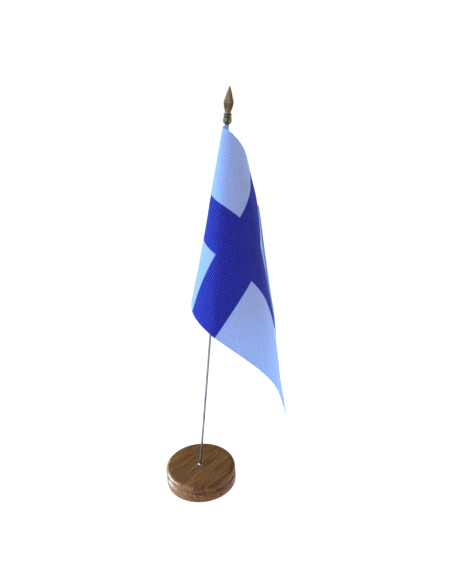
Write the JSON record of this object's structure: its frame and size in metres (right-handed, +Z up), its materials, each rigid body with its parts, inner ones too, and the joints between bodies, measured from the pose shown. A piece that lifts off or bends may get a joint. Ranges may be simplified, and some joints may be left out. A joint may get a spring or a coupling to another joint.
{
  "type": "desk flag stand",
  "caption": "Small cross flag hanging in folds on a leaning wire rod with a spear finial, standing in a turned wooden base.",
  "frame": {"origin": "centre of the underside of the felt, where the stand rests on a table", "axes": "+Z up; +X the way the rod leans; +Y to the back, so the flag's folds open to the right and back"},
  "size_m": [0.1244, 0.1342, 0.4227],
  "materials": {
    "base_wood": "clear gloss lacquer over brown stained oak",
    "felt": "dense felt",
    "ferrule_steel": "bright plated",
    "rod_steel": "bright drawn wire",
    "finial_bronze": "antique bronze",
    "white_cloth": "fine ribbed polyester",
    "flag_cloth": "fine ribbed polyester, dyed through with a blue cross",
    "thread": "white sewing thread"
  },
  "bodies": {
    "base": {"base_disc": "base_wood", "felt_pad": "felt", "rod_ferrule": "ferrule_steel"},
    "rod": {"rod": "rod_steel"},
    "finial": {"finial": "finial_bronze"},
    "flag": {"pole_sleeve": "white_cloth", "flag_panel": "flag_cloth", "seam_thread": "thread"}
  },
  "joints": [
    {"name": "rod_lift", "type": "slide", "parent": "base", "child": "rod", "axis": [0.1323, 0, 0.9912], "range_m": [0, 0.015]},
    {"name": "finial_pull", "type": "slide", "parent": "rod", "child": "finial", "axis": [0.1323, 0, 0.9912], "range_m": [0, 0.007]},
    {"name": "flag_turn", "type": "hinge", "parent": "rod", "child": "flag", "pos_m": [0, 0, 0.0215], "axis": [0.1323, 0, 0.9912], "continuous": true}
  ]
}
